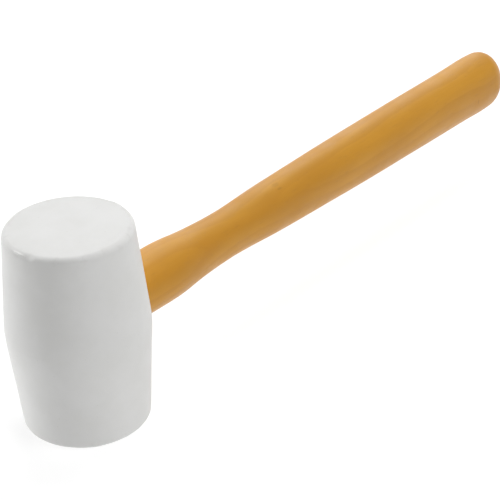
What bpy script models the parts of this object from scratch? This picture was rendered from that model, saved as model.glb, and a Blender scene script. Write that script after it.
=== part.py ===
"""Rubber mallet: a solid white rubber head on a lacquered hardwood handle.

Frame: metres. +Z runs along the head, from its lower to its upper striking face. +X runs along the
handle, from the head to the butt. The origin is the centre of the lower striking face.

The handle's tenon sits in a blind socket in the side of the head. A film of glue lines the socket, and a
hardwood wedge, driven into a saw kerf by the socket's floor, spreads the end of the tenon.
"""
import math

import bmesh
import bpy
from mathutils import Vector

MM = 0.001
GAP = 0.3 * MM                    # clearance between pieces that touch

# Head: a barrel of two cones, softened where they meet at the girth
HEAD_LENGTH = 97.0 * MM           # face to face
GIRTH_RADIUS = 32.5 * MM          # at mid height
FACE_RADIUS = 28.6 * MM           # of the striking faces, up to the sharp corner
FACE_EDGE_RADIUS = 2.8 * MM
GIRTH_ROUNDING = 60.0 * MM        # radius that softens the ridge of the girth
EDGE_STEPS = 6
GIRTH_STEPS = 6
HEAD_SIDES = 80

# Handle: oval sections, as (distance from the head's axis, half height, half width)
SECTIONS = [
    (40.0 * MM, 14.0 * MM, 13.5 * MM),    # root, straight into the socket
    (57.0 * MM, 13.9 * MM, 13.4 * MM),    # shoulder
    (73.0 * MM, 12.6 * MM, 11.6 * MM),
    (93.0 * MM, 11.9 * MM, 10.5 * MM),    # neck
    (128.0 * MM, 13.4 * MM, 11.2 * MM),
    (170.0 * MM, 14.6 * MM, 11.8 * MM),   # start of the grip
    (302.0 * MM, 16.1 * MM, 12.5 * MM),   # end of the grip
]
BUTT_X = 314.5 * MM               # tip of the rounded butt
BUTT_ROUNDING = 2.4               # exponent of the butt's curve: 2 is an ellipse, more is squarer
BUTT_RINGS = 8
BUTT_LAST_TURN = math.radians(85.0)   # short of 90 degrees, which leaves a small flat at the tip
HANDLE_SIDES = 44
CURVED_TO_X = SECTIONS[5][0]      # rings stand closer together up to here
CURVED_SPACING = 5.0 * MM
GRIP_SPACING = 22.0 * MM

# Socket and tenon, along the handle's axis
SOCKET_FLOOR_X = -21.0 * MM       # leaves 11 mm of rubber behind it
SOCKET_TAPER = math.radians(1.1)  # draft of the socket's walls
TENON_STEP_X = 18.0 * MM          # the handle fills the socket's mouth up to here
GLUE_THICKNESS = 0.4 * MM
TENON_CHAMFER = 1.5 * MM

# Kerf and wedge, in the plane of the handle and the head's axis
WEDGE_LENGTH = 26.0 * MM
WEDGE_HEIGHT = 20.0 * MM
WEDGE_THICK_END = 3.0 * MM
WEDGE_THIN_END = 1.0 * MM
KERF_RELIEF = 4.0 * MM            # saw cut left empty past the wedge's thin end
KERF_OVERRUN = 2.0 * MM           # how far the cutter reaches out past the tenon's tip

CREASE = math.radians(30.0)       # edges that turn more than this are shaded sharp

AXIS_HEIGHT = HEAD_LENGTH / 2.0   # of the handle above the origin
TENON_TIP_X = SOCKET_FLOOR_X + 2.0 * GAP + GLUE_THICKNESS
BUTT_START_X = SECTIONS[-1][0]

# The socket's oval where its wall would reach the handle's root: GAP outside the handle
MOUTH_X = SECTIONS[0][0]
MOUTH_HALF_HEIGHT = SECTIONS[0][1] + GAP
MOUTH_HALF_WIDTH = SECTIONS[0][2] + GAP


def material(name, color, roughness):
    """A plain Principled BSDF in one linear colour."""
    result = bpy.data.materials.new(name)
    result.use_nodes = True
    shader = result.node_tree.nodes["Principled BSDF"]
    shader.inputs["Base Color"].default_value = (*color, 1.0)
    shader.inputs["Roughness"].default_value = roughness
    shader.inputs["Metallic"].default_value = 0.0
    result.diffuse_color = (*color, 1.0)
    return result


def add_object(name, mesh, finish, parent):
    """Puts a mesh, modelled about the crossing of the two axes, on the handle's axis."""
    piece = bpy.data.objects.new(name, mesh)
    bpy.context.scene.collection.objects.link(piece)
    piece.parent = parent
    piece.location = (0.0, 0.0, AXIS_HEIGHT)
    if finish:
        mesh.materials.append(finish)
    return piece


def cut(piece, cutter):
    """Takes a hidden cutter out of a piece."""
    cutter.hide_render = True
    cutter.display_type = "WIRE"
    boolean = piece.modifiers.new("cut_" + cutter.name, "BOOLEAN")
    boolean.operation = "DIFFERENCE"
    boolean.solver = "EXACT"
    boolean.object = cutter


def arc(center, radius, start, end, steps):
    """Points on an arc in the (radius, height) plane, both ends included."""
    angles = [start + (end - start) * i / steps for i in range(steps + 1)]
    return [(center[0] + radius * math.cos(a), center[1] + radius * math.sin(a)) for a in angles]


def head_profile():
    """Half outline of the head, from its lower face's flat to its upper one, height measured from mid head."""
    half = HEAD_LENGTH / 2.0
    girth_center = GIRTH_RADIUS - GIRTH_ROUNDING
    # The flank runs from the face's sharp corner and touches the girth's arc
    reach = FACE_RADIUS - girth_center
    lean = math.atan2(half, reach) - math.acos(GIRTH_ROUNDING / math.hypot(reach, half))
    edge_center = FACE_RADIUS - FACE_EDGE_RADIUS * (1.0 - math.sin(lean)) / math.cos(lean)
    lower = arc((edge_center, FACE_EDGE_RADIUS - half), FACE_EDGE_RADIUS, -math.pi / 2.0, -lean, EDGE_STEPS)
    girth = arc((girth_center, 0.0), GIRTH_ROUNDING, -lean, lean, GIRTH_STEPS)
    upper = [(radius, -height) for radius, height in reversed(lower)]
    return lower + girth + upper


def loft(bm, rings):
    """Joins rings of points, each as long as the next, into a tube with flat ends."""
    loops = [[bm.verts.new(point) for point in ring] for ring in rings]
    sides = len(loops[0])
    for near, far in zip(loops, loops[1:]):
        for i in range(sides):
            j = (i + 1) % sides
            bm.faces.new((near[i], near[j], far[j], far[i]))
    bm.faces.new(reversed(loops[0]))
    bm.faces.new(loops[-1])


def finish_mesh(name, bm):
    """Makes a smooth-shaded mesh whose faces point out."""
    bmesh.ops.recalc_face_normals(bm, faces=bm.faces)
    mesh = bpy.data.meshes.new(name)
    bm.to_mesh(mesh)
    bm.free()
    mesh.shade_smooth()
    mesh.set_sharp_from_angle(angle=CREASE)
    return mesh


def round_ring(radius, height):
    """A level circle about the head's axis."""
    turns = [math.tau * i / HEAD_SIDES for i in range(HEAD_SIDES)]
    return [Vector((radius * math.cos(t), radius * math.sin(t), height)) for t in turns]


def oval_ring(x, half_height, half_width):
    """An upright oval across the handle's axis."""
    turns = [math.tau * i / HANDLE_SIDES for i in range(HANDLE_SIDES)]
    return [Vector((x, half_width * math.cos(t), half_height * math.sin(t))) for t in turns]


def section_slopes(column):
    """Slope of the handle's outline at each section; the root runs straight into the socket."""
    spans = [b[0] - a[0] for a, b in zip(SECTIONS, SECTIONS[1:])]
    rises = [(b[column] - a[column]) / span for a, b, span in zip(SECTIONS, SECTIONS[1:], spans)]
    slopes = [0.0]
    for i in range(1, len(spans)):
        slopes.append((rises[i - 1] * spans[i] + rises[i] * spans[i - 1]) / (spans[i - 1] + spans[i]))
    slopes.append(rises[-1])
    return slopes


def outline(x, column):
    """Half height (column 1) or half width (column 2) of the handle at x: one smooth curve through SECTIONS."""
    x = min(max(x, SECTIONS[0][0]), SECTIONS[-1][0])
    slopes = section_slopes(column)
    i = max(k for k in range(len(SECTIONS) - 1) if SECTIONS[k][0] <= x)
    span = SECTIONS[i + 1][0] - SECTIONS[i][0]
    t = (x - SECTIONS[i][0]) / span
    start, end = SECTIONS[i][column], SECTIONS[i + 1][column]
    return ((2 * t**3 - 3 * t**2 + 1) * start + (t**3 - 2 * t**2 + t) * span * slopes[i]
            + (3 * t**2 - 2 * t**3) * end + (t**3 - t**2) * span * slopes[i + 1])


def handle_ring(x):
    return oval_ring(x, outline(x, 1), outline(x, 2))


def socket_ring(x, inset):
    """The socket's section at x, drawn in by inset."""
    narrowing = (MOUTH_X - x) * math.tan(SOCKET_TAPER) + inset
    return oval_ring(x, MOUTH_HALF_HEIGHT - narrowing, MOUTH_HALF_WIDTH - narrowing)


def grip_stations():
    """Places of the rings along the seen part of the handle: closer together where its outline curves."""
    places = [SECTIONS[0][0]]
    for near, far in zip(SECTIONS, SECTIONS[1:]):
        spacing = CURVED_SPACING if far[0] <= CURVED_TO_X else GRIP_SPACING
        steps = max(1, round((far[0] - near[0]) / spacing))
        places += [near[0] + (far[0] - near[0]) * (i + 1) / steps for i in range(steps)]
    return places


def butt_rings():
    """The rounded butt, from full section to a small flat at its tip."""
    rings = []
    for i in range(1, BUTT_RINGS + 1):
        turn = BUTT_LAST_TURN * i / BUTT_RINGS
        along = math.sin(turn) ** (2.0 / BUTT_ROUNDING)
        shrink = math.cos(turn) ** (2.0 / BUTT_ROUNDING)
        x = BUTT_START_X + (BUTT_X - BUTT_START_X) * along
        rings.append(oval_ring(x, SECTIONS[-1][1] * shrink, SECTIONS[-1][2] * shrink))
    return rings


def make_head(finish, parent):
    bm = bmesh.new()
    loft(bm, [round_ring(radius, height) for radius, height in head_profile()])
    return add_object("rubber_head", finish_mesh("rubber_head", bm), finish, parent)


def make_socket_cutter(parent):
    """The tapered blind socket, run out past the head's side."""
    bm = bmesh.new()
    loft(bm, [socket_ring(SOCKET_FLOOR_X, 0.0), socket_ring(MOUTH_X, 0.0)])
    return add_object("socket_cutter", finish_mesh("socket_cutter", bm), None, parent)


def make_handle(finish, parent):
    glue_room = 2.0 * GAP + GLUE_THICKNESS
    rings = [
        socket_ring(TENON_TIP_X, glue_room + TENON_CHAMFER),
        socket_ring(TENON_TIP_X + TENON_CHAMFER, glue_room),
        socket_ring(TENON_STEP_X, glue_room),
        socket_ring(TENON_STEP_X, GAP),
    ]
    rings += [handle_ring(x) for x in grip_stations()]
    bm = bmesh.new()
    loft(bm, rings + butt_rings())
    return add_object("wooden_handle", finish_mesh("wooden_handle", bm), finish, parent)


def taper_prism(start_x, length, start_thickness, end_thickness, height):
    """A straight wedge about the handle's axis, thick across Y."""
    bm = bmesh.new()
    rings = []
    for x, thickness in ((start_x, start_thickness), (start_x + length, end_thickness)):
        y, z = thickness / 2.0, height / 2.0
        rings.append([Vector((x, y, -z)), Vector((x, y, z)), Vector((x, -y, z)), Vector((x, -y, -z))])
    loft(bm, rings)
    return bm


def make_kerf_cutter(parent):
    """The kerf, spread by the wedge: the wedge's own taper with GAP on each side, and open at the tenon's tip."""
    slope = (WEDGE_THICK_END - WEDGE_THIN_END) / WEDGE_LENGTH
    length = KERF_OVERRUN + WEDGE_LENGTH + KERF_RELIEF
    start = WEDGE_THICK_END + 2.0 * GAP + slope * KERF_OVERRUN
    full_height = 2.0 * MOUTH_HALF_HEIGHT
    bm = taper_prism(TENON_TIP_X - KERF_OVERRUN, length, start, start - slope * length, full_height)
    return add_object("kerf_cutter", finish_mesh("kerf_cutter", bm), None, parent)


def make_wedge(finish, parent):
    bm = taper_prism(TENON_TIP_X, WEDGE_LENGTH, WEDGE_THICK_END, WEDGE_THIN_END, WEDGE_HEIGHT)
    return add_object("tenon_wedge", finish_mesh("tenon_wedge", bm), finish, parent)


def make_glue(finish, parent):
    """The glue film: a thin cup that follows the socket's wall and floor, open towards the handle."""
    outer_floor = SOCKET_FLOOR_X + GAP
    inner_floor = outer_floor + GLUE_THICKNESS
    brim = TENON_STEP_X - GAP
    rings = [
        socket_ring(outer_floor, GAP),
        socket_ring(brim, GAP),
        socket_ring(brim, GAP + GLUE_THICKNESS),
        socket_ring(inner_floor, GAP + GLUE_THICKNESS),
    ]
    bm = bmesh.new()
    loft(bm, rings)
    return add_object("socket_adhesive", finish_mesh("socket_adhesive", bm), finish, parent)


def main():
    for existing in list(bpy.data.objects):
        bpy.data.objects.remove(existing, do_unlink=True)
    rubber = material("white_rubber", (0.72, 0.72, 0.71), 0.75)
    lacquered_wood = material("lacquered_wood", (0.56, 0.28, 0.05), 0.35)
    bare_wood = material("bare_wood", (0.60, 0.42, 0.24), 0.7)
    glue = material("cured_glue", (0.75, 0.62, 0.35), 0.4)

    mallet = bpy.data.objects.new("mallet", None)
    bpy.context.scene.collection.objects.link(mallet)

    head = make_head(rubber, mallet)
    cut(head, make_socket_cutter(mallet))
    handle = make_handle(lacquered_wood, mallet)
    cut(handle, make_kerf_cutter(mallet))
    make_wedge(bare_wood, mallet)
    make_glue(glue, mallet)


main()
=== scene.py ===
"""Looks of the rubber mallet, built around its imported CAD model.

Metres, in the CAD's frame: +Z up the head's axis from its lower striking face,
+X along the handle to its butt.
"""
import math

import bmesh
import bpy
import numpy as np
from mathutils import Matrix, Vector, noise


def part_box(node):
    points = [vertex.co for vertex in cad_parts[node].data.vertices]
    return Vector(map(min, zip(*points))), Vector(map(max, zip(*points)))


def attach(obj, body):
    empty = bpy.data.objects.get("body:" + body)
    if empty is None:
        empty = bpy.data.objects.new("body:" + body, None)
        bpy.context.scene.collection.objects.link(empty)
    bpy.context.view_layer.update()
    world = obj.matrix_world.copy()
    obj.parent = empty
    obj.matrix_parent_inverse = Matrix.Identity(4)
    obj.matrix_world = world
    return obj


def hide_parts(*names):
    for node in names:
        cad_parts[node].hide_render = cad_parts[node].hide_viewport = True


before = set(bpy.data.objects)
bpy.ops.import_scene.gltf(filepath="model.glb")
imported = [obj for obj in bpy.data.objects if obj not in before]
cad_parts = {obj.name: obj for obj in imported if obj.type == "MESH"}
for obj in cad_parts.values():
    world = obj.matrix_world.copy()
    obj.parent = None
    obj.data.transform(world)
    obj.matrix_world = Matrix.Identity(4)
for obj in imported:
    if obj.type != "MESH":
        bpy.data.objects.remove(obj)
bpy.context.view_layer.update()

MM = 0.001
GAP = 0.3 * MM                        # the clearance that the CAD keeps between pieces
CLOSE_GAP = 0.05 * MM                 # between the handle and the rubber that grips it


def mm(*sizes):
    """Sizes in millimetres, as metres."""
    return tuple(size * MM for size in sizes)


# Head, from the CAD's box and the CAD's own radii
HEAD_LOW, HEAD_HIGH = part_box("rubber_head")
AXIS_HEIGHT = (HEAD_LOW.z + HEAD_HIGH.z) / 2.0
HEAD_HALF = (HEAD_HIGH.z - HEAD_LOW.z) / 2.0
GIRTH_RADIUS = HEAD_HIGH.y
FACE_RADIUS = 28.6 * MM
FACE_EDGE_RADIUS = 2.8 * MM
GIRTH_ROUNDING = 60.0 * MM
HEAD_SIDES = 240
HEAD_WELD = 0.06 * MM                 # points closer than this become one
EDGE_STEPS = 20
GIRTH_STEPS = 32
FLANK_STEPS = 14
FACE_RINGS = (0.1, 0.3, 0.5, 0.7, 0.85, 0.95)   # of the faces, as shares of their flat's radius
PARTING_HEIGHT = 0.05 * MM            # the mould's parting line, round the girth
PARTING_HALF_WIDTH = 0.25 * MM
PARTING_WAVES = 9.0                   # how quickly its height varies round the girth
PARTING_MEAN = 0.75                   # its mean height, as a share of PARTING_HEIGHT
PARTING_VARIES = 0.5                  # how far noise of -1 to 1 moves it, as such a share
SWELL_DEPTH = 0.10 * MM               # of the slow unevenness of moulded rubber
SWELL_SIZE = 17.0 * MM
EDGE_WAVE_DEPTH = 0.12 * MM           # of the unevenness of the faces' rounded edges
EDGE_WAVE_SIZE = 5.0 * MM
LIP_TURN = math.radians(176.0)        # middle of a short lip of moulding flash on the upper face's edge
LIP_HALF_LENGTH = 3.6 * MM
LIP_HALF_WIDTH = 0.35 * MM
LIP_HEIGHT = 0.30 * MM
DENT_TURN = math.radians(-170.0)      # shallow dent in the same edge, beside the lip
DENT_RADIUS = 2.2 * MM
DENT_DEPTH = 0.55 * MM

# Socket and handle
GLUE_LOW, GLUE_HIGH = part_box("socket_adhesive")
WEDGE_LOW, WEDGE_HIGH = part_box("tenon_wedge")
GLUE_THICKNESS = 0.4 * MM
TENON_CHAMFER = 1.5 * MM
WEDGE_THIN_END = 1.0 * MM
KERF_RELIEF = 4.0 * MM
MOUTH_ROUNDING = 0.8 * MM             # of the rubber's edge round the handle
MOUTH_RUN_OUT = 6.0 * MM              # of the socket's cutter past the head's side
MOUTH_DEGREES = (0.0, 15.0, 30.0, 45.0, 60.0, 75.0, 84.0)   # steps of that rounding, from the handle out
MOUTH_SIDES = 132
HANDLE_SIDES = 132
HANDLE_STEP = 2.0 * MM
HANDLE_WELD = 0.01 * MM
SECTION_GRID = 0.01 * MM              # points of the CAD's handle this near in x are of one section
HANDLE_SWELL_DEPTH = 0.08 * MM        # of what sanding leaves uneven
HANDLE_SWELL_LENGTH = 30.0 * MM
HANDLE_SWELL_WIDTH = 9.0 * MM
SHARP_FROM = math.radians(35.0)       # edges that turn by more than this are shaded sharp

# Camera, beside the head, with the handle going away to the right
CAMERA_TARGET = Vector((62.3 * MM, -47.7 * MM, 72.3 * MM))
CAMERA_DISTANCE = 858.0 * MM
CAMERA_HEADING = math.radians(47.47)  # from +Y towards +X
CAMERA_DOWN = math.radians(29.98)
CAMERA_ROLL = math.radians(-3.22)
CAMERA_LENS_MM = 140.4
SENSOR_MM = 36.0

# Soft boxes: name, azimuth from the camera's own (positive to its right), elevation, width, height, watts
LIGHTS = [
    ("left_light", -105.0, 8.0, 1.0, 1.0, 25.0),
    ("key_light", 45.0, 65.0, 1.0, 1.0, 10.5),
    ("right_light", 60.0, 45.0, 1.0, 1.0, 10.5),
    ("back_top_light", 165.0, 70.0, 1.0, 0.6, 16.0),
    ("back_upper_light", 165.0, 40.0, 1.0, 0.6, 4.5),
    ("back_right_light", 135.0, 40.0, 1.0, 0.6, 2.0),
    ("back_low_light", 180.0, 25.0, 1.0, 0.6, 2.5),
]
LIGHT_DISTANCE = 2.0
LIGHT_CENTRE = Vector((90.0 * MM, 0.0, AXIS_HEIGHT))     # what they are aimed at

BLACK = (0.0, 0.0, 0.0, 1.0)
WHITE = (1.0, 1.0, 1.0, 1.0)
FLOOR_COLOR = (0.40, 0.40, 0.40, 1.0)
FLOOR_GLOW = 0.72
FLOOR_RADIUS = 1.15
FLOOR_SIDES = 96
BACKDROP_RADIUS = 6.0
BACKDROP_FINENESS = 3                 # how often the ball's twenty triangles are divided, counting the first


# ---------------------------------------------------------------- mesh helpers

def arc(centre, radius, start, end, steps):
    """Points on an arc in the (radius, height) plane, both ends included."""
    angles = [start + (end - start) * i / steps for i in range(steps + 1)]
    return [(centre[0] + radius * math.cos(a), centre[1] + radius * math.sin(a)) for a in angles]


def loft(rings):
    """A closed mesh through rings of points, each as long as the next, with flat ends."""
    bm = bmesh.new()
    loops = [[bm.verts.new(point) for point in ring] for ring in rings]
    sides = len(loops[0])
    for near, far in zip(loops, loops[1:]):
        for i in range(sides):
            j = (i + 1) % sides
            bm.faces.new((near[i], near[j], far[j], far[i]))
    bm.faces.new(reversed(loops[0]))
    bm.faces.new(loops[-1])
    bmesh.ops.recalc_face_normals(bm, faces=bm.faces)
    return bm


def add_object(name, bm):
    """An object in the scene with the mesh of bm, which is freed."""
    mesh = bpy.data.meshes.new(name)
    bm.to_mesh(mesh)
    bm.free()
    piece = bpy.data.objects.new(name, mesh)
    bpy.context.scene.collection.objects.link(piece)
    return piece


def shade(piece):
    """Smooth shading, with the sharper edges kept."""
    piece.data.shade_smooth()
    piece.data.set_sharp_from_angle(angle=SHARP_FROM)


def cut_out(piece, cutter, weld):
    """Takes cutter out of piece for good, welds points closer than weld, and deletes the cutter."""
    boolean = piece.modifiers.new("cut", "BOOLEAN")
    boolean.operation = "DIFFERENCE"
    boolean.solver = "EXACT"
    boolean.object = cutter
    bpy.context.view_layer.update()
    evaluated = piece.evaluated_get(bpy.context.evaluated_depsgraph_get())
    mesh = bpy.data.meshes.new_from_object(evaluated)
    piece.modifiers.clear()
    whole = piece.data
    piece.data = mesh
    bpy.data.meshes.remove(whole)
    bpy.data.objects.remove(cutter, do_unlink=True)
    bm = bmesh.new()
    bm.from_mesh(mesh)
    bmesh.ops.remove_doubles(bm, verts=bm.verts, dist=weld)
    bmesh.ops.dissolve_degenerate(bm, edges=bm.edges, dist=weld)
    bm.to_mesh(mesh)
    bm.free()


def oval_ring(x, half_height, half_width, sides):
    """An upright oval across the handle's axis. x is a number, or a function of the point's y and height."""
    ring = []
    for i in range(sides):
        turn = math.tau * i / sides
        y, height = half_width * math.cos(turn), half_height * math.sin(turn)
        ring.append(Vector((x(y, height) if callable(x) else x, y, AXIS_HEIGHT + height)))
    return ring


# ---------------------------------------------------------------- head

def head_profile():
    """Half outline of the head, lower flat to upper flat, as (radius, height above mid head)."""
    girth_centre = GIRTH_RADIUS - GIRTH_ROUNDING
    reach = FACE_RADIUS - girth_centre
    lean = math.atan2(HEAD_HALF, reach) - math.acos(GIRTH_ROUNDING / math.hypot(reach, HEAD_HALF))
    edge_centre = FACE_RADIUS - FACE_EDGE_RADIUS * (1.0 - math.sin(lean)) / math.cos(lean)
    edge = arc((edge_centre, FACE_EDGE_RADIUS - HEAD_HALF), FACE_EDGE_RADIUS,
               -math.pi / 2.0, -lean, EDGE_STEPS)
    girth = arc((girth_centre, 0.0), GIRTH_ROUNDING, -lean, lean, GIRTH_STEPS)
    flank = [tuple(a + (b - a) * i / FLANK_STEPS for a, b in zip(edge[-1], girth[0]))
             for i in range(1, FLANK_STEPS)]
    lower = edge + flank
    return lower + girth + [(radius, -height) for radius, height in reversed(lower)]


PROFILE = head_profile()

# Of the arc that rounds a face's edge, as (radius, height above mid head): its centre and its middle
EDGE_CENTRE = Vector((PROFILE[0][0], HEAD_HALF - FACE_EDGE_RADIUS))
EDGE_MIDDLE = EDGE_CENTRE + FACE_EDGE_RADIUS * Vector((1.0, 1.0)).normalized()


def head_side(y, height):
    """x of the head's side where the handle comes out, at a point across the handle's axis."""
    radius = float(np.interp(height, [row[1] for row in PROFILE], [row[0] for row in PROFILE]))
    return math.sqrt(radius * radius - y * y)


def outward(turn):
    """Level direction from the head's axis."""
    return Vector((math.cos(turn), math.sin(turn), 0.0))


def up(height):
    return Vector((0.0, 0.0, height))


# From the crossing of the two axes: the middles of the lip and of the dent
LIP_PLACE = outward(LIP_TURN) * EDGE_MIDDLE.x + up(EDGE_MIDDLE.y)
DENT_PLACE = outward(DENT_TURN) * EDGE_MIDDLE.x + up(HEAD_HALF)


def edge_lift(spot):
    """How far a point near a face's rounded edge stands out towards the corner: waves, a lip and a dent."""
    corner = Vector((math.hypot(spot.x, spot.y), abs(spot.z))) - EDGE_CENTRE
    nearness = max(0.0, math.sin(2.0 * math.atan2(corner.y, corner.x))) if min(corner) > 0.0 else 0.0
    lift = EDGE_WAVE_DEPTH * noise.noise(spot / EDGE_WAVE_SIZE) * nearness
    if spot.z > 0.0:
        along = (spot - LIP_PLACE).dot(outward(LIP_TURN + math.pi / 2.0)) / LIP_HALF_LENGTH
        across = (corner.x - corner.y) / LIP_HALF_WIDTH
        lift += LIP_HEIGHT * math.exp(-along ** 4 - across ** 2) * nearness
        lift -= DENT_DEPTH * math.exp(-((spot - DENT_PLACE).length / DENT_RADIUS) ** 2)
    return lift


def make_head():
    """The barrel, slightly uneven as moulded rubber is, with the parting line round its girth."""
    flat = PROFILE[0][0]
    rows = [(flat * share, -HEAD_HALF) for share in FACE_RINGS]
    rows += PROFILE
    rows += [(flat * share, HEAD_HALF) for share in reversed(FACE_RINGS)]
    rings = []
    for radius, height in rows:
        ring = []
        for i in range(HEAD_SIDES):
            out = outward(math.tau * i / HEAD_SIDES)
            spot = out * radius + up(height)
            ridge = PARTING_HEIGHT * math.exp(-(height / PARTING_HALF_WIDTH) ** 2)
            ridge *= PARTING_MEAN + PARTING_VARIES * noise.noise(out * PARTING_WAVES)
            swell = SWELL_DEPTH * noise.noise(spot / SWELL_SIZE) * (radius > flat)
            to_corner = (out + up(math.copysign(1.0, height))).normalized()
            ring.append(up(AXIS_HEIGHT) + spot + out * (ridge + swell) + to_corner * edge_lift(spot))
        rings.append(ring)
    return add_object("rubber_head_moulding", loft(rings))


# ---------------------------------------------------------------- handle and socket

def cad_sections():
    """The handle's oval sections in the CAD, from the socket's step to the butt.

    Each is its x, its half height and its half width.
    """
    sizes = {}
    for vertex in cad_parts["wooden_handle"].data.vertices:
        place = round(vertex.co.x / SECTION_GRID)
        if vertex.co.x > GLUE_HIGH.x:
            tall, wide = sizes.get(place, (0.0, 0.0))
            sizes[place] = (max(tall, abs(vertex.co.z - AXIS_HEIGHT)), max(wide, abs(vertex.co.y)))
    return [(place * SECTION_GRID, *sizes[place]) for place in sorted(sizes)]


SECTIONS = cad_sections()


def socket_size(x, inset):
    """Half height and half width of the socket at x, drawn in by inset."""
    (near, *near_size), (far, *far_size) = SECTIONS[:2]
    share = (x - near) / (far - near)
    return [a + (b - a) * share + GAP - inset for a, b in zip(near_size, far_size)]


def smooth_path(points, step):
    """Points about step apart on one smooth curve through the given ones."""
    points = np.asarray(points, float)
    chords = np.linalg.norm(np.diff(points, axis=0), axis=1)
    rises = np.diff(points, axis=0) / chords[:, None]
    slopes = np.vstack([rises, rises[-1:]])
    slopes[1:-1] = rises[:-1] * chords[1:, None] + rises[1:] * chords[:-1, None]
    slopes[1:-1] /= (chords[:-1] + chords[1:])[:, None]
    path = [points[0]]
    for i, chord in enumerate(chords):
        count = max(1, round(chord / step))
        for t in (np.arange(count) + 1) / count:
            path.append((2 * t**3 - 3 * t**2 + 1) * points[i] + (t**3 - 2 * t**2 + t) * chord * slopes[i]
                        + (3 * t**2 - 2 * t**3) * points[i + 1] + (t**3 - t**2) * chord * slopes[i + 1])
    return path


def make_socket_cutter():
    """The socket, with a close mouth whose edge is rounded over on to the head's side."""
    floor_x = GLUE_LOW.x - GAP
    step_x = GLUE_HIGH.x + GAP
    rings = [oval_ring(x, *socket_size(x, 0.0), MOUTH_SIDES) for x in (floor_x, step_x)]
    mouth = socket_size(SECTIONS[1][0], GAP - CLOSE_GAP)
    rings.append(oval_ring(step_x + CLOSE_GAP, *mouth, MOUTH_SIDES))
    for degrees in MOUTH_DEGREES:
        turn = math.radians(degrees)
        spread = MOUTH_ROUNDING * (1.0 - math.cos(turn))
        sunk = MOUTH_ROUNDING * (1.0 - math.sin(turn))
        size = [half + spread for half in mouth]
        rings.append(oval_ring(lambda y, height: head_side(y, height) - sunk, *size, MOUTH_SIDES))
    rings.append([point + Vector((MOUTH_RUN_OUT, 0.0, 0.0)) for point in rings[-1]])
    return add_object("socket_cutter", loft(rings))


def make_kerf_cutter():
    """The kerf: the wedge with GAP round it, run on past both its ends."""
    thick = WEDGE_HIGH.y - WEDGE_LOW.y + 2.0 * GAP
    slope = (thick - 2.0 * GAP - WEDGE_THIN_END) / (WEDGE_HIGH.x - WEDGE_LOW.x)
    height = GLUE_HIGH.z - GLUE_LOW.z
    rings = []
    for x in (WEDGE_LOW.x - TENON_CHAMFER, WEDGE_HIGH.x + KERF_RELIEF):
        y = (thick - slope * (x - WEDGE_LOW.x)) / 2.0
        corners = ((y, -height), (y, height), (-y, height), (-y, -height))
        rings.append([Vector((x, a, AXIS_HEIGHT + b)) for a, b in corners])
    return add_object("kerf_cutter", loft(rings))


def make_handle():
    """The handle, from its tenon to the rounded butt, a little uneven as sanding leaves it."""
    tip_x = WEDGE_LOW.x
    step_x = SECTIONS[0][0]
    room = 2.0 * GAP + GLUE_THICKNESS
    rings = [
        oval_ring(tip_x, *socket_size(tip_x, room + TENON_CHAMFER), HANDLE_SIDES),
        oval_ring(tip_x + TENON_CHAMFER, *socket_size(tip_x + TENON_CHAMFER, room), HANDLE_SIDES),
        oval_ring(step_x, *socket_size(step_x, room), HANDLE_SIDES),
    ]
    mouth_x = SECTIONS[1][0]
    for x, tall, wide in smooth_path(SECTIONS, HANDLE_STEP):
        ring = oval_ring(x, tall, wide, HANDLE_SIDES)
        depth = HANDLE_SWELL_DEPTH * min(max((x - mouth_x) / mouth_x, 0.0), 1.0)
        for point in ring:
            out = Vector((0.0, point.y, point.z - AXIS_HEIGHT)).normalized()
            spot = Vector((x / HANDLE_SWELL_LENGTH,
                           point.y / HANDLE_SWELL_WIDTH,
                           point.z / HANDLE_SWELL_WIDTH))
            point += out * depth * noise.noise(spot)
        rings.append(ring)
    return add_object("lacquered_handle", loft(rings))


# ---------------------------------------------------------------- material helpers

def add_node(tree, kind, inputs=None, **settings):
    """A shader node. An input is a value, or another node's output."""
    node = tree.nodes.new("ShaderNode" + kind)
    for name, value in settings.items():
        setattr(node, name, value)
    for key, value in (inputs or {}).items():
        if isinstance(value, bpy.types.NodeSocket):
            tree.links.new(value, node.inputs[key])
        else:
            node.inputs[key].default_value = value
    return node


def maths(tree, operation, a, b=0.0, c=0.0):
    """One step of arithmetic on up to three numbers."""
    return add_node(tree, "Math", {0: a, 1: b, 2: c}, operation=operation).outputs[0]


def noise_value(tree, vector, scale, detail=2.0, roughness=0.5):
    """Noise about 0.5. Scale is its waves to the unit of vector, and more detail adds finer ones."""
    inputs = {"Vector": vector, "Scale": scale, "Detail": detail, "Roughness": roughness}
    return add_node(tree, "TexNoise", inputs).outputs["Fac"]


def stretched(tree, vector, scale):
    """Coordinates multiplied along each axis: the smaller the number, the longer the pattern."""
    return add_node(tree, "Mapping", {"Vector": vector, "Scale": scale}).outputs[0]


def vector_maths(tree, operation, a, b=(0.0, 0.0, 0.0), output="Vector"):
    """One step of arithmetic on up to two vectors. A length comes from the output "Value"."""
    return add_node(tree, "VectorMath", {0: a, 1: b}, operation=operation).outputs[output]


def from_crossing(tree, place):
    """Coordinates measured from the crossing of the head's axis and the handle's."""
    return vector_maths(tree, "SUBTRACT", place, (0.0, 0.0, AXIS_HEIGHT))


def ranged(tree, value, low, high, to_low=0.0, to_high=1.0):
    """value, smoothly mapped from low..high to to_low..to_high."""
    inputs = {"Value": value, "From Min": low, "From Max": high, "To Min": to_low, "To Max": to_high}
    return add_node(tree, "MapRange", inputs, interpolation_type="SMOOTHSTEP").outputs[0]


def mixed(tree, factor, a, b):
    """Colour a, going over to colour b as factor goes from 0 to 1."""
    colors = [(*c, 1.0) if isinstance(c, tuple) else c for c in (a, b)]
    # Of the Mix node's sockets, the colours are inputs 6 and 7, and output 2
    return add_node(tree, "Mix", {0: factor, 6: colors[0], 7: colors[1]}, data_type="RGBA").outputs[2]


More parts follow.
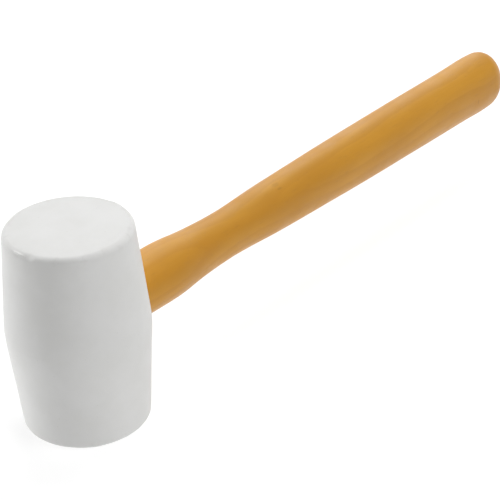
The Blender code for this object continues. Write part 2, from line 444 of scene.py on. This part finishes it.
def bumped(tree, height, distance, strength, under=None):
    """A normal for height as relief, on top of the normal under."""
    inputs = {"Height": height, "Distance": distance, "Strength": strength}
    if under is not None:
        inputs["Normal"] = under
    return add_node(tree, "Bump", inputs).outputs[0]


SPOT_CORE = 0.3                       # share of a spot's size that has its full strength


def spots(tree, centred, rows):
    """Soft oval spots, strongest at their middle. A row is a middle, a half size and a strength."""
    total = 0.0
    for middle, half_size, strength in rows:
        offset = vector_maths(tree, "SUBTRACT", centred, middle)
        offset = vector_maths(tree, "DIVIDE", offset, half_size)
        away = vector_maths(tree, "LENGTH", offset, output="Value")
        total = maths(tree, "MULTIPLY_ADD", ranged(tree, away, 1.0, SPOT_CORE), strength, total)
    return total


def new_material(name):
    """A material, its node tree, its Principled shader and the piece's own coordinates."""
    material = bpy.data.materials.new(name)
    material.use_nodes = True
    tree = material.node_tree
    shader = tree.nodes["Principled BSDF"]
    place = add_node(tree, "TexCoord").outputs["Object"]
    return material, tree, shader, place


def connect(tree, shader, **sockets):
    """Links outputs to the shader's inputs; an underscore stands for a space."""
    for name, output in sockets.items():
        tree.links.new(output, shader.inputs[name.replace("_", " ")])


# ---------------------------------------------------------------- materials

RUBBER_LIGHT = (0.76, 0.76, 0.75)
RUBBER_SHADE = (0.73, 0.73, 0.715)
RUBBER_SPECK = (0.60, 0.59, 0.56)
RUBBER_SCUFF = (0.66, 0.655, 0.64)
# A lighter colour painted on the trimmed lip as a glint, a painted highlight
RUBBER_PAINTED_GLINT = (0.90, 0.90, 0.89)
TRIM_AND_PAINTED_GLINT = [(LIP_PLACE, mm(1.3, 4.4, 0.75), 0.65)]      # where the lip was trimmed, and a glint is painted there: middle, half size, strength
TURNING_PITCH = 0.7 * MM
SPECK_SCALE = 420.0
SPECK_STRENGTH = 0.6
SCUFF_STRENGTH = 0.5
SCUFF_REACH = 5.0 * MM                # how far scuffs spread from the faces' corners
SCUFF_ROUGHER = 0.08
TRIM_SMOOTHER = 0.25


def rubber_material():
    """Matte white moulded rubber: faint mottling, a few specks, dulled rims, a painted glint on the trimmed
    lip, fine grain and mould marks.
    """
    material, tree, shader, place = new_material("white_rubber_moulded")
    centred = from_crossing(tree, place)
    parts = add_node(tree, "SeparateXYZ", {0: centred})
    x, y, z = (parts.outputs[i] for i in range(3))
    radius = maths(tree, "SQRT", maths(tree, "MULTIPLY_ADD", x, x, maths(tree, "MULTIPLY", y, y)))
    height = maths(tree, "ABSOLUTE", z)

    mottle = noise_value(tree, place, scale=45.0, detail=4.0, roughness=0.6)
    color = mixed(tree, ranged(tree, mottle, 0.3, 0.7), RUBBER_LIGHT, RUBBER_SHADE)

    # Specks in the middle of a few cells, where the coarser noise is high
    cells = add_node(tree, "TexVoronoi", {"Vector": place, "Scale": SPECK_SCALE}).outputs["Distance"]
    kept = ranged(tree, noise_value(tree, place, scale=160.0), 0.60, 0.66)
    speck = maths(tree, "MULTIPLY", ranged(tree, cells, 0.12, 0.07), kept)
    color = mixed(tree, maths(tree, "MULTIPLY", speck, SPECK_STRENGTH), color, RUBBER_SPECK)

    # The rim of each striking face: nearest to the sharp corner that its rounding takes away
    rim = maths(tree, "MULTIPLY", ranged(tree, height, HEAD_HALF - SCUFF_REACH, HEAD_HALF - 1.0 * MM),
                ranged(tree, radius, FACE_RADIUS - SCUFF_REACH, FACE_RADIUS - 1.5 * MM))
    patches = noise_value(tree, place, scale=220.0, detail=5.0, roughness=0.65)
    worn = maths(tree, "MULTIPLY", rim, ranged(tree, patches, 0.50, 0.68))
    color = mixed(tree, maths(tree, "MULTIPLY", worn, SCUFF_STRENGTH), color, RUBBER_SCUFF)

    # Painted highlight: a lighter colour where the lip of flash was trimmed stands in for a glint on it
    trimmed_and_glint = spots(tree, centred, TRIM_AND_PAINTED_GLINT)
    color = mixed(tree, trimmed_and_glint, color, RUBBER_PAINTED_GLINT)

    # Rougher where the rim is worn, smoother where the lip was trimmed
    dull = ranged(tree, noise_value(tree, place, scale=90.0, detail=3.0), 0.3, 0.7, 0.56, 0.66)
    roughness = maths(tree, "MULTIPLY_ADD", worn, SCUFF_ROUGHER, dull)
    roughness = maths(tree, "MULTIPLY_ADD", trimmed_and_glint, -TRIM_SMOOTHER, roughness)

    # The mould was turned on a lathe, which left fine rings on the faces
    turned = maths(tree, "SINE", maths(tree, "MULTIPLY", radius, math.tau / TURNING_PITCH))
    on_face = ranged(tree, height, HEAD_HALF - 0.5 * MM, HEAD_HALF - 0.1 * MM)
    rings = maths(tree, "MULTIPLY", turned, on_face)
    coarse = noise_value(tree, place, scale=650.0, detail=3.0)
    fine = noise_value(tree, place, scale=2600.0)
    normal = bumped(tree, rings, distance=0.004 * MM, strength=1.0)
    normal = bumped(tree, coarse, distance=0.06 * MM, strength=0.5, under=normal)
    normal = bumped(tree, fine, distance=0.03 * MM, strength=0.5, under=normal)
    normal = bumped(tree, worn, distance=0.05 * MM, strength=0.4, under=normal)
    connect(tree, shader, Base_Color=color, Roughness=roughness, Normal=normal)
    shader.inputs["IOR"].default_value = 1.5
    shader.inputs["Specular IOR Level"].default_value = 0.4
    return material


WOOD_LIGHT = (0.605, 0.277, 0.020)
WOOD_DARK = (0.515, 0.223, 0.013)
WOOD_LATE = (0.480, 0.196, 0.010)
WOOD_PORE = (0.300, 0.107, 0.009)
WOOD_MARK = (0.280, 0.110, 0.012)
LACQUER_GLOSS = (1.0, 0.98, 0.55)
LATE_STRENGTH = 0.35
FIBRE_STRENGTH = 0.28
PORE_STRENGTH = 0.30
RING_SPACING = 3.2 * MM
RING_WANDER = 9.0 * MM                # how far slow noise pushes the growth rings about
PITH = mm(0.0, 34.0, -21.0)           # where the rings are centred, beside the handle

# Of noise in the wood, along the handle and across it
SLOW_STRETCH = (7.0, 45.0, 45.0)
BLOTCH_STRETCH = (20.0, 60.0, 60.0)
FIBRE_STRETCH = (28.0, 1500.0, 1500.0)
PORE_STRETCH = (140.0, 3600.0, 3600.0)

# Small dark marks: centre from the crossing of the two axes, half size, strength
MARKS = [
    (mm(130.7, -3.7, 12.7), mm(3.2, 1.6, 1.6), 0.22),      # pin knot on the top of the handle
    (mm(131.0, -6.1, 11.3), mm(2.2, 1.2, 0.6), 0.30),      # scratch beside it
    (mm(286.5, -12.2, -2.8), mm(0.5, 1.5, 2.4), 0.45),     # tick across the handle near the butt
]


def grain(tree, centred):
    """The wood's pattern along the handle: growth rings, fibres and pores, each 0 to 1."""
    slow = noise_value(tree, stretched(tree, centred, SLOW_STRETCH), scale=1.0, detail=3.0)
    across = stretched(tree, vector_maths(tree, "SUBTRACT", centred, PITH), (0.0, 1.0, 1.0))
    away = vector_maths(tree, "LENGTH", across, output="Value")
    away = maths(tree, "MULTIPLY_ADD", slow, RING_WANDER, away)

    # A ring darkens slowly through its year and ends at a sharper line
    wave = maths(tree, "FRACT", maths(tree, "DIVIDE", away, RING_SPACING))
    late = maths(tree, "MULTIPLY", ranged(tree, wave, 0.25, 0.9), ranged(tree, wave, 1.0, 0.93))
    fibres = noise_value(tree, stretched(tree, centred, FIBRE_STRETCH), 1.0, detail=4.0, roughness=0.6)
    pores = noise_value(tree, stretched(tree, centred, PORE_STRETCH), scale=1.0, detail=1.0)
    return late, fibres, ranged(tree, pores, 0.66, 0.74)


def lacquer_material():
    """Honey-stained hardwood under satin lacquer."""
    material, tree, shader, place = new_material("honey_lacquered_wood")
    centred = from_crossing(tree, place)
    late, fibres, pores = grain(tree, centred)
    blotch = noise_value(tree, stretched(tree, centred, BLOTCH_STRETCH), scale=1.0, detail=3.0)
    color = mixed(tree, ranged(tree, blotch, 0.25, 0.75), WOOD_LIGHT, WOOD_DARK)
    color = mixed(tree, maths(tree, "MULTIPLY", late, LATE_STRENGTH), color, WOOD_LATE)
    color = mixed(tree, ranged(tree, fibres, 0.35, 0.75, 0.0, FIBRE_STRENGTH), color, WOOD_DARK)
    color = mixed(tree, maths(tree, "MULTIPLY", pores, PORE_STRENGTH), color, WOOD_PORE)
    mark = spots(tree, centred, MARKS)
    color = mixed(tree, mark, color, WOOD_MARK)
    dull = noise_value(tree, place, scale=120.0, detail=3.0)
    roughness = ranged(tree, dull, 0.3, 0.7, 0.36, 0.46)

    # The fibres show through the lacquer, pores and marks are sunk in it, and it flowed a little unevenly
    sunk = maths(tree, "ADD", pores, mark)
    flow = noise_value(tree, place, scale=260.0)
    normal = bumped(tree, fibres, distance=0.02 * MM, strength=0.35)
    normal = bumped(tree, sunk, distance=-0.05 * MM, strength=0.5, under=normal)
    normal = bumped(tree, flow, distance=0.04 * MM, strength=0.25, under=normal)
    connect(tree, shader, Base_Color=color, Roughness=roughness, Normal=normal)
    shader.inputs["IOR"].default_value = 1.5
    shader.inputs["Specular IOR Level"].default_value = 0.38
    shader.inputs["Specular Tint"].default_value = (*LACQUER_GLOSS, 1.0)
    shader.inputs["Coat Weight"].default_value = 0.12
    shader.inputs["Coat Roughness"].default_value = 0.25
    return material


BARE_LIGHT = (0.62, 0.44, 0.25)
BARE_LATE = (0.50, 0.33, 0.17)
BARE_FIBRE = (0.44, 0.29, 0.15)
BARE_PORE = (0.28, 0.17, 0.08)


def bare_wood_material():
    """Sawn hardwood for the hidden wedge."""
    material, tree, shader, place = new_material("bare_sawn_wood")
    late, fibres, pores = grain(tree, from_crossing(tree, place))
    color = mixed(tree, maths(tree, "MULTIPLY", late, 0.5), BARE_LIGHT, BARE_LATE)
    color = mixed(tree, ranged(tree, fibres, 0.3, 0.7, 0.0, 0.4), color, BARE_FIBRE)
    color = mixed(tree, maths(tree, "MULTIPLY", pores, 0.5), color, BARE_PORE)
    roughness = ranged(tree, fibres, 0.3, 0.7, 0.68, 0.82)
    normal = bumped(tree, fibres, distance=0.05 * MM, strength=0.6)
    connect(tree, shader, Base_Color=color, Roughness=roughness, Normal=normal)
    return material


GLUE_CLEAR = (0.72, 0.56, 0.28)
GLUE_CLOUDY = (0.60, 0.44, 0.20)
BUBBLE_SCALE = 900.0


def glue_material():
    """Cured amber glue for the hidden film in the socket."""
    material, tree, shader, place = new_material("cured_amber_glue")
    clouds = noise_value(tree, place, scale=240.0, detail=4.0)
    color = mixed(tree, ranged(tree, clouds, 0.3, 0.7), GLUE_CLEAR, GLUE_CLOUDY)
    bubbles = add_node(tree, "TexVoronoi", {"Vector": place, "Scale": BUBBLE_SCALE}).outputs["Distance"]
    roughness = ranged(tree, clouds, 0.3, 0.7, 0.30, 0.45)
    normal = bumped(tree, ranged(tree, bubbles, 0.1, 0.4), distance=0.05 * MM, strength=0.5)
    connect(tree, shader, Base_Color=color, Roughness=roughness, Normal=normal)
    return material


def backdrop_material():
    """Glows evenly white, and reflects nothing."""
    material, _, shader, _ = new_material("white_backdrop")
    shader.inputs["Base Color"].default_value = BLACK
    shader.inputs["Specular IOR Level"].default_value = 0.0
    shader.inputs["Emission Color"].default_value = WHITE
    shader.inputs["Emission Strength"].default_value = 1.0
    return material


def floor_material():
    """Pale studio floor, lit from within like a light table so that shadows stay faint."""
    material, tree, shader, place = new_material("pale_floor")
    dull = ranged(tree, noise_value(tree, place, scale=30.0), 0.3, 0.7, 0.85, 0.95)
    connect(tree, shader, Roughness=dull)
    shader.inputs["Base Color"].default_value = FLOOR_COLOR
    shader.inputs["Specular IOR Level"].default_value = 0.2
    shader.inputs["Emission Color"].default_value = WHITE
    shader.inputs["Emission Strength"].default_value = FLOOR_GLOW
    return material


# ---------------------------------------------------------------- stage

def make_camera():
    """The camera, a little rolled, looking down on the mallet."""
    forward = Vector((math.sin(CAMERA_HEADING) * math.cos(CAMERA_DOWN),
                      math.cos(CAMERA_HEADING) * math.cos(CAMERA_DOWN),
                      -math.sin(CAMERA_DOWN)))
    data = bpy.data.cameras.new("camera")
    data.lens = CAMERA_LENS_MM
    data.sensor_width = SENSOR_MM
    data.dof.use_dof = False
    camera = bpy.data.objects.new("camera", data)
    bpy.context.scene.collection.objects.link(camera)
    level = forward.to_track_quat("-Z", "Y").to_matrix().to_4x4()
    roll = Matrix.Rotation(CAMERA_ROLL, 4, "Z")
    camera.matrix_world = Matrix.Translation(CAMERA_TARGET - forward * CAMERA_DISTANCE) @ level @ roll
    bpy.context.scene.camera = camera


def add_soft_box(name, azimuth, elevation, width, height, watts):
    """A rectangular light aimed at the mallet."""
    turn = CAMERA_HEADING + math.pi - math.radians(azimuth)
    rise = math.radians(elevation)
    toward = Vector((math.sin(turn) * math.cos(rise), math.cos(turn) * math.cos(rise), math.sin(rise)))
    data = bpy.data.lights.new(name, "AREA")
    data.shape = "RECTANGLE"
    data.size = width
    data.size_y = height
    data.energy = watts
    light = bpy.data.objects.new(name, data)
    bpy.context.scene.collection.objects.link(light)
    light.location = LIGHT_CENTRE + toward * LIGHT_DISTANCE
    light.rotation_mode = "QUATERNION"
    light.rotation_quaternion = (-toward).to_track_quat("-Z", "Y")


def make_floor():
    """A round floor just under the lower face."""
    bm = bmesh.new()
    bmesh.ops.create_circle(bm, cap_ends=True, segments=FLOOR_SIDES, radius=FLOOR_RADIUS)
    floor = add_object("floor", bm)
    floor.location = (LIGHT_CENTRE.x, 0.0, -GAP)
    floor.data.materials.append(floor_material())


def make_backdrop():
    """A white ball round everything, seen behind the mallet and in its gloss. It casts no light."""
    bm = bmesh.new()
    bmesh.ops.create_icosphere(bm, subdivisions=BACKDROP_FINENESS, radius=BACKDROP_RADIUS)
    backdrop = add_object("backdrop", bm)
    backdrop.data.materials.append(backdrop_material())
    backdrop.visible_diffuse = False
    backdrop.visible_transmission = False
    backdrop.visible_shadow = False


def make_stage():
    """Floor, backdrop and lights, with colours shown as they are."""
    make_floor()
    make_backdrop()
    for row in LIGHTS:
        add_soft_box(*row)
    bpy.context.scene.world = None
    bpy.context.scene.view_settings.view_transform = "Standard"


# ---------------------------------------------------------------- the mallet

def dress(piece, material):
    """Gives a piece its material."""
    piece.data.materials.clear()
    piece.data.materials.append(material)


def put_in_place(piece, node):
    """Lets a new piece stand for its CAD node."""
    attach(piece, "root")
    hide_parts(node)


make_camera()

head = make_head()
cut_out(head, make_socket_cutter(), HEAD_WELD)
shade(head)
put_in_place(head, "rubber_head")
dress(head, rubber_material())

handle = make_handle()
cut_out(handle, make_kerf_cutter(), HANDLE_WELD)
shade(handle)
put_in_place(handle, "wooden_handle")
dress(handle, lacquer_material())

# The hidden pieces stay as they are in the CAD
dress(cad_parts["tenon_wedge"], bare_wood_material())
dress(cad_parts["socket_adhesive"], glue_material())

make_stage()
